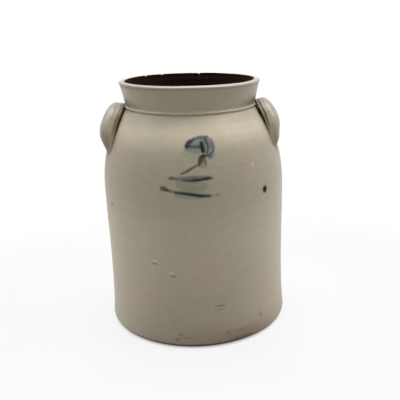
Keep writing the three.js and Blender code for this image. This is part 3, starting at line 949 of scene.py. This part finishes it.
def strap_layers(tree, scene, place):
    """A strap's brown stain with painted shade low down, painted grey shade on its outer side and its top,
    and painted shade on the face next to the jar, behind it with dirt, and in its fold.
    """
    glaze = scene.crock_glaze
    out = add(tree, "ShaderNodeAttribute", attribute_name="strap_out", take="Fac")
    height = add(tree, "ShaderNodeSeparateXYZ", {0: place}, take="Z")
    # Brown stain with painted shade on the lower parts, in blotches about 11 mm across
    low = add(tree, "ShaderNodeMapRange", {0: height, 1: STRAP_STAIN_AND_SHADE[0], 2: STRAP_STAIN_AND_SHADE[1], 3: 0.0, 4: 0.5},
              interpolation_type="SMOOTHSTEP")
    blotch = add(tree, "ShaderNodeTexNoise", {"Vector": place, "Scale": 1 / (11 * MM), "Detail": 4.0})
    blotch = add(tree, "ShaderNodeMapRange", {0: blotch, 1: 0.35, 2: 0.65, 3: 0.55, 4: 1.3})
    low = add(tree, "ShaderNodeMath", {0: low, 1: blotch}, operation="MULTIPLY")
    yield low, (*glaze.stain, 1), "MIX"
    # Painted grey shade on the outer side and on the top
    for value, start, end, amount in ((out, 0.1, 0.9, 0.7), (height, *STRAP_TOP_SHADE, 0.68)):
        share = add(tree, "ShaderNodeMapRange", {0: value, 1: start, 2: end, 3: 0.0, 4: amount},
                    interpolation_type="SMOOTHSTEP")
        yield share, (*glaze.shade_grey, 1), "MIX"

    # Painted shade on the face next to the jar
    inner = add(tree, "ShaderNodeAttribute", attribute_name="strap_inner", take="Fac")
    inner = add(tree, "ShaderNodeMath", {0: inner, 1: 0.85}, operation="MULTIPLY")
    yield inner, (*glaze.inner_shade, 1), "MIX"
    # Dirt with painted shade on the back, with a ragged edge, and painted shade in the fold
    grain = add(tree, "ShaderNodeTexNoise", {"Vector": place, "Scale": 1 / (3 * MM), "Detail": 3.0})
    ragged = add(tree, "ShaderNodeMapRange", {0: grain, 1: 0.3, 2: 0.7, 3: -0.98, 4: -0.55})
    back = add(tree, "ShaderNodeMapRange", {0: out, 1: -1.0, 2: ragged, 3: 0.85, 4: 0.0},
               interpolation_type="SMOOTHSTEP")
    fold = add(tree, "ShaderNodeAttribute", attribute_name="strap_crease", take="Fac")
    fold = add(tree, "ShaderNodeMath", {0: fold, 1: 0.7}, operation="MULTIPLY")
    dirt_and_shade = add(tree, "ShaderNodeMath", {0: back, 1: fold}, operation="MAXIMUM")
    yield dirt_and_shade, (*glaze.dirt_and_shade, 1), "MIX"


def slip_material(name, glaze):
    """Brown slip, a river clay that melts to a dark satin glaze inside the jar.

    To the eye: near black, warmer where it ran thin, with a soft shine.
    """
    material, tree = new_material(name)
    place = add(tree, "ShaderNodeTexCoord", take="Object")

    # Runs about 4 mm high, long round the jar
    runs = add(tree, "ShaderNodeVectorMath", {0: place, 1: (1 / (70 * MM), 1 / (70 * MM), 1 / (4 * MM))},
               operation="MULTIPLY")
    streaks = add(tree, "ShaderNodeTexNoise", {"Vector": runs, "Scale": 1.0, "Detail": 3.0})
    thin = add(tree, "ShaderNodeMapRange", {0: streaks, 1: 0.4, 2: 0.75})
    body = add(tree, "ShaderNodeMix", {0: thin, 6: (*glaze.slip, 1), 7: (*glaze.slip_thin, 1)},
               data_type="RGBA", take=2)
    gloss = add(tree, "ShaderNodeMapRange", {0: streaks, 1: 0.3, 2: 0.7, 3: 0.5, 4: 0.6})
    grain = add(tree, "ShaderNodeTexNoise", {"Vector": place, "Scale": 1 / (3 * MM), "Detail": 2.0})
    relief = add(tree, "ShaderNodeBump", {"Height": grain, "Strength": 0.15, "Distance": 0.3 * MM})
    shader = add(tree, "ShaderNodeBsdfPrincipled", {
        "Base Color": body, "Roughness": gloss, "Normal": relief, "IOR": 1.5, "Specular IOR Level": 0.025})
    add(tree, "ShaderNodeOutputMaterial", {0: shader})
    return material


# Handles
ARCH_STEPS = 80
TAIL_STEPS = 15
SECTION_POINTS = 96
SECTION_FINENESS = 4000  # points from which a section's evenly spaced ones are taken
STRAP_FREE = (0.15, 0.6)  # shares of the rise across which a strap comes clear of its pressed end
STRAP_CROWN = (0.6, 1)  # shares of the rise across which it turns into its crown
FOLD_SIDE = (0.5, 0.8)  # shares of half the width across which the fold sets in, towards the upper edge

# The two straps were made by hand and differ: thicker and lower by so many millimetres, fully thick from
# that share of the rise on, with that share of a full fold, and with painted shade from the inner edge
# inwards
STRAPS = {
    "right": {"facing": 0.0, "thicker": -0.4, "lower": 0.5, "taper_end": 0.85, "fold": 1.0,
              "inner_edge": -0.25, "seed": 1.0},
    "left": {"facing": math.pi, "thicker": 1.9, "lower": 0.2, "taper_end": 0.5, "fold": 0.25,
             "inner_edge": -0.15, "seed": 5.0},
}
PLAIN_STRAP = {"thicker": 0.0, "lower": 0.0, "taper_end": 0.5}


def strap_spine(jar, handle, strap):
    """Middle line of a strap on the +X side, with its directions and half sizes at each point."""
    _, _, _, shoulder_top, _ = jar_levels(jar)
    wall = shoulder_points(jar)
    lean_line = np.arctan2(-np.gradient(wall[:, 0]), np.gradient(wall[:, 1]))
    share = np.linspace(0, 1, ARCH_STEPS + 1)
    tail = np.linspace(1, 0, TAIL_STEPS + 1)[:-1]
    lift = np.concatenate((-tail, np.sin(math.pi * share), -tail[::-1]))
    along = np.concatenate((np.zeros(TAIL_STEPS), share, np.ones(TAIL_STEPS)))
    fall = np.clip(-lift, 0, 1)
    lift = np.clip(lift, 0, 1)

    # Where the strap stands on the shoulder
    crown = shoulder_top - handle.crown_drop - strap["lower"] * MM
    height = crown - handle.arch_rise * (1 - lift) - handle.tail_length * fall
    radius = np.interp(height, wall[:, 1], wall[:, 0])
    lean = np.interp(height, wall[:, 1], lean_line)
    turn = np.arcsin(-handle.span * np.cos(math.pi * along) / 2 / radius)
    outward = np.column_stack((np.cos(turn) * np.cos(lean), np.sin(turn) * np.cos(lean), np.sin(lean)))
    foot = np.column_stack((radius * np.cos(turn), radius * np.sin(turn), height))

    # How far it stands off, and how thick and wide it is
    raised = ease(lift, handle.lift_start, handle.lift_end)
    standoff = (handle.grip_gap + handle.press_depth) * raised - handle.press_depth * (1 - fall)
    fullness = 1 - (1 - np.clip(lift / strap["taper_end"], 0, 1)) ** 2
    crown_thickness = handle.crown_thickness + strap["thicker"] * MM
    thickness = (handle.end_thickness + (crown_thickness - handle.end_thickness) * fullness) * (1 - fall)
    width = (handle.end_width + (handle.crown_width - handle.end_width) * lift) * np.sqrt(1 - fall ** 2)

    # Directions across the strap, with the crown's top nearly level
    middle = foot + outward * (standoff + thickness / 2)[:, None]
    tangent = np.gradient(middle, axis=0)
    tangent /= np.linalg.norm(tangent, axis=1)[:, None]
    side = np.cross(outward, tangent)
    side /= np.linalg.norm(side, axis=1)[:, None]
    outward = np.cross(tangent, side)
    uphill = np.clip(side[:, 2] / np.cos(lean), 0, 1)
    outward -= (handle.level_top * np.tan(lean) * uphill)[:, None] * side
    return middle, {
        "side": side, "outward": outward, "half_width": width / 2, "half_thickness": thickness / 2,
        "foot_height": height, "flare": handle.foot_flare * (1 - lift) ** 2,
        "lifted": ease(lift, *STRAP_FREE), "crown": ease(lift, *STRAP_CROWN)}


def strap_section(handle):
    """Section of a strap in shares of its half sizes, squarer towards the jar, and the fold in its side."""
    turn = np.linspace(0, math.tau, SECTION_FINENESS)
    power = np.where(np.sin(turn) < 0, handle.back_squareness, handle.front_squareness)
    across = np.sign(np.cos(turn)) * np.abs(np.cos(turn)) ** power
    out = np.sign(np.sin(turn)) * np.abs(np.sin(turn)) ** power
    steps = np.hypot(np.diff(across) * handle.crown_width, np.diff(out) * handle.crown_thickness)
    run = np.concatenate(([0], np.cumsum(steps)))
    even = np.linspace(0, run[-1], SECTION_POINTS + 1)[:-1]
    across, out = np.interp(even, run, across), np.interp(even, run, out)
    fold = np.exp(-((out - handle.crease_place) / handle.crease_width) ** 2) * ease(across, *FOLD_SIDE)
    return across, out, fold


def strap_tree():
    """Node tree that sweeps a drawn section along a spine, for a strap of clay.

    The given chain holds the spine's points and then the section's points.
    """
    tree, given = shape_tree("Strap of clay", {
        "Spine points": "Int", "Section points": "Int", "Corner rise": "Float", "Crease depth": "Float",
        "Fold": "Float", "Inner edge": "Float", "Lumps": "Float", "Seed": "Float"})
    rows, sides = given["Spine points"], given["Section points"]
    grid, row, column = wrapped_grid(tree, rows, sides)
    column = add(tree, "FunctionNodeIntegerMath", {0: column, 1: sides}, operation="MODULO")
    column = add(tree, "FunctionNodeIntegerMath", {0: column, 1: rows}, operation="ADD")

    # Values of the spine point and of the section point that a grid point comes from
    spot = add(tree, "GeometryNodeInputPosition")
    taken = {}
    for name, kind, at in (
            ("spine", "FLOAT_VECTOR", row), ("section", "FLOAT_VECTOR", column),
            ("side", "FLOAT_VECTOR", row), ("outward", "FLOAT_VECTOR", row), ("half_width", "FLOAT", row),
            ("half_thickness", "FLOAT", row), ("flare", "FLOAT", row), ("lifted", "FLOAT", row),
            ("crown", "FLOAT", row), ("fold", "FLOAT", column)):
        value = spot
        if name not in ("spine", "section"):
            value = add(tree, "GeometryNodeInputNamedAttribute", {"Name": name}, data_type=kind)
        taken[name] = add(tree, "GeometryNodeSampleIndex",
                          {"Geometry": given["Geometry"], "Value": value, "Index": at}, data_type=kind)
    section = add(tree, "ShaderNodeSeparateXYZ", {0: taken["section"]}).node.outputs
    across, out = section["X"], section["Y"]

    # Where the fold runs, the back of the section and the corner of the crown that is drawn up
    crease = add(tree, "ShaderNodeMath", {0: taken["fold"], 1: taken["lifted"]}, operation="MULTIPLY")
    crease = add(tree, "ShaderNodeMath", {0: crease, 1: given["Fold"]}, operation="MULTIPLY")
    back = add(tree, "ShaderNodeMapRange", {0: out, 1: 0.0, 2: -1.0})
    top = add(tree, "ShaderNodeMapRange", {0: across, 1: 0.2, 2: 1.0})
    corner = add(tree, "ShaderNodeMath", {0: back, 1: top}, operation="MULTIPLY")
    corner = add(tree, "ShaderNodeMath", {0: corner, 1: taken["crown"]}, operation="MULTIPLY")

    # The pressed ends spread where they meet the jar, and the fold is cut in
    spread = add(tree, "ShaderNodeMath", {0: back, 1: taken["flare"], 2: 1.0}, operation="MULTIPLY_ADD")
    reach = add(tree, "ShaderNodeMath", {0: across, 1: spread}, operation="MULTIPLY")
    reach = add(tree, "ShaderNodeMath", {0: reach, 1: taken["half_width"]}, operation="MULTIPLY")
    reach = add(tree, "ShaderNodeMath", {0: corner, 1: given["Corner rise"], 2: reach},
                operation="MULTIPLY_ADD")
    cut = add(tree, "ShaderNodeMath", {0: crease, 1: given["Crease depth"]}, operation="MULTIPLY")
    reach = add(tree, "ShaderNodeMath", {0: reach, 1: cut}, operation="SUBTRACT")
    stand = add(tree, "ShaderNodeMath", {0: out, 1: taken["half_thickness"]}, operation="MULTIPLY")
    place = taken["spine"]
    for direction, length in ((taken["side"], reach), (taken["outward"], stand)):
        step = add(tree, "ShaderNodeVectorMath", {0: direction, 3: length}, operation="SCALE")
        place = add(tree, "ShaderNodeVectorMath", {0: place, 1: step}, operation="ADD")

    # The face next to the jar, for its painted shade
    deep = add(tree, "ShaderNodeMath", {0: given["Inner edge"], 1: 0.3}, operation="SUBTRACT")
    inner = add(tree, "ShaderNodeMapRange", {0: out, 1: given["Inner edge"], 2: deep},
                interpolation_type="SMOOTHSTEP")
    inner = add(tree, "ShaderNodeMath", {0: inner, 1: taken["lifted"]}, operation="MULTIPLY")
    swept = add(tree, "GeometryNodeSetPosition", {"Geometry": grid, "Position": place})
    for name, value in (("strap_out", out), ("strap_crease", crease), ("strap_inner", inner)):
        swept = add(tree, "GeometryNodeStoreNamedAttribute", {
            "Geometry": swept, "Name": name, "Value": value}, data_type="FLOAT", domain="POINT")
    merged = add(tree, "GeometryNodeMergeByDistance", {"Geometry": swept, "Distance": SEAM})

    # Unevenness about 14 mm across
    lump = add(tree, "ShaderNodeTexNoise", {
        "Vector": spot, "W": given["Seed"], "Scale": 1 / (14 * MM), "Detail": 1.0}, noise_dimensions="4D")
    lump = add(tree, "ShaderNodeMapRange", {0: lump, 1: 0.25, 2: 0.75, 3: -1.0, 4: 1.0})
    lump = add(tree, "ShaderNodeMath", {0: lump, 1: given["Lumps"]}, operation="MULTIPLY")
    normal = add(tree, "GeometryNodeInputNormal")
    shift = add(tree, "ShaderNodeVectorMath", {0: normal, 3: lump}, operation="SCALE")
    lumpy = add(tree, "GeometryNodeSetPosition", {"Geometry": merged, "Offset": shift})
    finish_tree(tree, lumpy, given["Material"])
    return tree


def make_strap(name, jar, handle, strap, material):
    """One strap handle, turned to its side of the jar."""
    middle, values = strap_spine(jar, handle, strap)
    spin = np.array(Matrix.Rotation(strap["facing"], 3, "Z"))
    middle = middle @ spin.T
    for key in ("side", "outward"):
        values[key] = values[key] @ spin.T
    across, out, fold = strap_section(handle)
    section = np.column_stack((across, out, np.zeros(len(out))))
    chain = {}
    for key, value in values.items():
        chain[key] = np.concatenate((value, np.zeros((len(section), *value.shape[1:]))))
    chain["fold"] = np.concatenate((np.zeros(len(middle)), fold))
    piece = chain_object(name, np.concatenate((middle, section)), chain)
    return run_tree(piece, strap_tree(), {
        "Spine points": len(middle), "Section points": len(section), "Corner rise": handle.corner_rise,
        "Crease depth": handle.crease_depth, "Fold": strap["fold"], "Inner edge": strap["inner_edge"],
        "Lumps": handle.lumps, "Seed": strap["seed"], "Material": material})


def finish_piece(piece, node):
    """Puts a finished piece in the place of its CAD node."""
    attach(piece, "root")
    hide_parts(node)


# Stage
FLOOR_RADIUS = 8
FLOOR_SECTOR = (0.45, 0.9)  # sideways share of the way from the crock, across which its floor turns pale
FLOOR_NEAR = (0.18, 0.44)  # metres from the crock's middle, across which the pale floor ends
FOOT_SHADOW = (0.102, 0.111)  # metres from the crock's middle, across which the floor under its foot ends
WHITE_REACH = 0.4  # metres from the crock's middle at which the floor is all white
WHITE_START = 0.86  # how white it is beside the foot
WHITE_ASIDE = 0.9  # strength of the white where the floor is pale
SKY_SECTOR = (0.3, 0.95)  # sideways share of a direction, where the sky turns from front to side
LAMP_PLACES = {"right": (0.467, 0.041, 0.883), "left": (-0.441, 0.16, 0.883), "top": (0, 0.09, 1)}
SENSOR = 36  # millimetres


def make_floor(stage):
    """A wide pale floor that turns white away from the crock and keeps its shadow."""
    mesh = bpy.data.meshes.new("floor")
    shape = bmesh.new()
    bmesh.ops.create_circle(shape, cap_ends=True, segments=96, radius=FLOOR_RADIUS)
    shape.to_mesh(mesh)
    shape.free()
    floor = bpy.data.objects.new("floor", mesh)
    bpy.context.scene.collection.objects.link(floor)
    material, tree = new_material("Pale studio floor")
    mesh.materials.append(material)
    place = add(tree, "ShaderNodeTexCoord", take="Object")
    reach = add(tree, "ShaderNodeVectorMath", {0: place}, operation="LENGTH", take="Value")

    # Paler on either side of the crock than in front of it and behind it
    aside = add(tree, "ShaderNodeSeparateXYZ", {0: place}, take="X")
    aside = add(tree, "ShaderNodeMath", {0: aside}, operation="ABSOLUTE")
    aside = add(tree, "ShaderNodeMath", {0: aside, 1: reach}, operation="DIVIDE")
    aside = add(tree, "ShaderNodeMapRange", {0: aside, 1: FLOOR_SECTOR[0], 2: FLOOR_SECTOR[1]},
                interpolation_type="SMOOTHSTEP")
    near = add(tree, "ShaderNodeMapRange", {0: reach, 1: FLOOR_NEAR[0], 2: FLOOR_NEAR[1], 3: 1.0, 4: 0.0})
    aside = add(tree, "ShaderNodeMath", {0: aside, 1: near}, operation="MULTIPLY")
    paint = add(tree, "ShaderNodeMix", {0: aside, 6: (*stage.floor_middle, 1), 7: (*stage.floor_sides, 1)},
                data_type="RGBA", take=2)
    plain = add(tree, "ShaderNodeBsdfDiffuse", {"Color": paint})

    # White grows with distance from the foot, and is a little dimmer where the floor is paler
    level = add(tree, "ShaderNodeMapRange", {0: aside, 3: 1.0, 4: WHITE_ASIDE})
    white = add(tree, "ShaderNodeEmission", {"Color": (1, 1, 1, 1), "Strength": level})
    whiteness = add(tree, "ShaderNodeMapRange",
                    {0: reach, 1: FOOT_SHADOW[1], 2: WHITE_REACH, 3: WHITE_START, 4: 1.0})
    beyond = add(tree, "ShaderNodeMapRange", {0: reach, 1: FOOT_SHADOW[0], 2: FOOT_SHADOW[1]})
    for share in (beyond, seen_rays(tree)):
        whiteness = add(tree, "ShaderNodeMath", {0: whiteness, 1: share}, operation="MULTIPLY")
    shader = add(tree, "ShaderNodeMixShader", {0: whiteness, 1: plain, 2: white})
    add(tree, "ShaderNodeOutputMaterial", {0: shader})


def seen_rays(tree):
    """1 for rays by which the background is seen, straight or in a reflection, and 0 for plain light."""
    rays = add(tree, "ShaderNodeLightPath").node.outputs
    seen = rays["Is Camera Ray"]
    for name in ("Is Glossy Ray", "Is Transmission Ray"):
        seen = add(tree, "ShaderNodeMath", {0: seen, 1: rays[name]}, operation="MAXIMUM")
    return seen


def make_light(stage):
    """Plain soft light from all round, more from the sides, and softboxes on either side and overhead."""
    scene = bpy.context.scene
    scene.view_settings.view_transform = "Standard"
    scene.world = bpy.data.worlds.new("Studio")
    scene.world.use_nodes = True
    tree = scene.world.node_tree
    tree.nodes.clear()
    heading = add(tree, "ShaderNodeTexCoord", take="Generated")
    aside = add(tree, "ShaderNodeSeparateXYZ", {0: heading}, take="X")
    aside = add(tree, "ShaderNodeMath", {0: aside}, operation="ABSOLUTE")
    level = add(tree, "ShaderNodeMapRange", {
        0: aside, 1: SKY_SECTOR[0], 2: SKY_SECTOR[1], 3: stage.front_level, 4: stage.side_level})
    level = add(tree, "ShaderNodeMix", {0: seen_rays(tree), 2: level, 3: 1.0})
    sky = add(tree, "ShaderNodeBackground", {"Color": (1, 1, 1, 1), "Strength": level})
    add(tree, "ShaderNodeOutputWorld", {0: sky})
    middle = Vector((CAD_BOX[0] + CAD_BOX[1]) / 2)
    for name, direction in LAMP_PLACES.items():
        lamp = bpy.data.lights.new(f"{name}_softbox", "AREA")
        lamp.energy = getattr(stage, f"{name}_lamp")
        lamp.size = stage.lamp_size
        holder = bpy.data.objects.new(lamp.name, lamp)
        away = Vector(direction).normalized()
        holder.location = middle + away * stage.lamp_distance
        holder.rotation_euler = away.to_track_quat("Z", "Y").to_euler()
        scene.collection.objects.link(holder)


def make_camera(stage):
    """The camera where the photograph was taken from."""
    lens = bpy.data.cameras.new("camera")
    lens.lens = stage.lens
    lens.sensor_width = SENSOR
    camera = bpy.data.objects.new("camera", lens)
    aim = Euler((math.pi / 2 - stage.camera_pitch, 0, -stage.camera_yaw)).to_matrix().to_4x4()
    roll = Matrix.Rotation(stage.camera_roll, 4, "Z")
    camera.matrix_world = Matrix.Translation(stage.camera_place) @ aim @ roll
    bpy.context.scene.collection.objects.link(camera)
    bpy.context.scene.camera = camera


# Operators

class CROCK_OT_stage(bpy.types.Operator):
    """Make the floor, the light and the camera"""

    bl_idname = "crock.stage"
    bl_label = "Stage"

    def execute(self, context):
        stage = context.scene.crock_stage
        make_floor(stage)
        make_light(stage)
        make_camera(stage)
        return {"FINISHED"}


class CROCK_OT_jar(bpy.types.Operator):
    """Throw the jar and paint its figure"""

    bl_idname = "crock.jar"
    bl_label = "Jar"

    def execute(self, context):
        scene = context.scene
        jar = scene.crock_jar
        material = stoneware_material("Salt-glazed stoneware", scene, (
            tone_and_shading_layers, foot_layers, mark_layers, figure_layers, wear_and_shade_layers))
        outline = jar_outline(jar)
        _, _, _, shoulder_top, _ = jar_levels(jar)
        rings = ((4 * MM, 20 * MM), (shoulder_top - 20 * MM, shoulder_top))
        depths = ring_depths(outline, jar.ring_depth, *rings)
        body = turn_on_wheel("jar", outline, depths, jar, jar.crowding, material)
        points = read_points(body.data)
        paint_figure(body.data, points)
        store_wear_and_shade(body.data, points, jar, scene.crock_handle)
        write_points(body.data, settle_neck(points, jar))
        finish_piece(body, "crock_body")
        return {"FINISHED"}


class CROCK_OT_lining(bpy.types.Operator):
    """Coat the jar's inside with slip"""

    bl_idname = "crock.lining"
    bl_label = "Slip lining"

    def execute(self, context):
        jar = context.scene.crock_jar
        material = slip_material("Brown slip", context.scene.crock_glaze)
        outline = lining_outline(jar)
        rings = ((20 * MM, 40 * MM), (jar.height - 30 * MM, jar.height))
        depths = ring_depths(outline, jar.lining_ring_depth, *rings)
        coat = turn_on_wheel("slip_coat", outline, depths, jar, 0.0, material)
        points = read_points(coat.data)
        points[:, 2] -= chip_share(points, jar) * MM
        write_points(coat.data, settle_neck(points, jar))
        finish_piece(coat, "slip_lining")
        return {"FINISHED"}


class CROCK_OT_handles(bpy.types.Operator):
    """Press the two lug handles onto the shoulder"""

    bl_idname = "crock.handles"
    bl_label = "Lug handles"

    def execute(self, context):
        scene = context.scene
        material = stoneware_material("Salt-glazed strap", scene, (strap_layers,))
        for side, strap in STRAPS.items():
            piece = make_strap(f"{side}_strap", scene.crock_jar, scene.crock_handle, strap, material)
            finish_piece(piece, f"{side}_lug_handle")
        return {"FINISHED"}


class CROCK_PT_panel(bpy.types.Panel):
    """The crock's settings and the buttons that make its pieces"""

    bl_label = "Stoneware Crock"
    bl_idname = "CROCK_PT_panel"
    bl_space_type = "VIEW_3D"
    bl_region_type = "UI"
    bl_category = "Crock"

    def draw(self, context):
        for operator in OPERATORS:
            self.layout.operator(operator.bl_idname)
        for holder in SETTINGS:
            box = self.layout.box()
            settings = getattr(context.scene, holder)
            for name in settings.bl_rna.properties.keys():
                if name not in ("rna_type", "name"):
                    box.prop(settings, name)


SETTINGS = {"crock_jar": JarSettings, "crock_handle": HandleSettings, "crock_glaze": GlazeSettings,
            "crock_stage": StageSettings}
OPERATORS = (CROCK_OT_stage, CROCK_OT_jar, CROCK_OT_lining, CROCK_OT_handles)


def register():
    """Registers the settings, the operators and the panel."""
    for holder, settings in SETTINGS.items():
        bpy.utils.register_class(settings)
        setattr(bpy.types.Scene, holder, PointerProperty(type=settings))
    for kind in (*OPERATORS, CROCK_PT_panel):
        bpy.utils.register_class(kind)


def unregister():
    """Takes back what register did."""
    for kind in (CROCK_PT_panel, *reversed(OPERATORS)):
        bpy.utils.unregister_class(kind)
    for holder, settings in reversed(SETTINGS.items()):
        delattr(bpy.types.Scene, holder)
        bpy.utils.unregister_class(settings)


def main():
    """Makes the stage and the crock."""
    register()
    bpy.ops.crock.stage()
    bpy.ops.crock.jar()
    bpy.ops.crock.lining()
    bpy.ops.crock.handles()


if __name__ == "__main__":
    main()
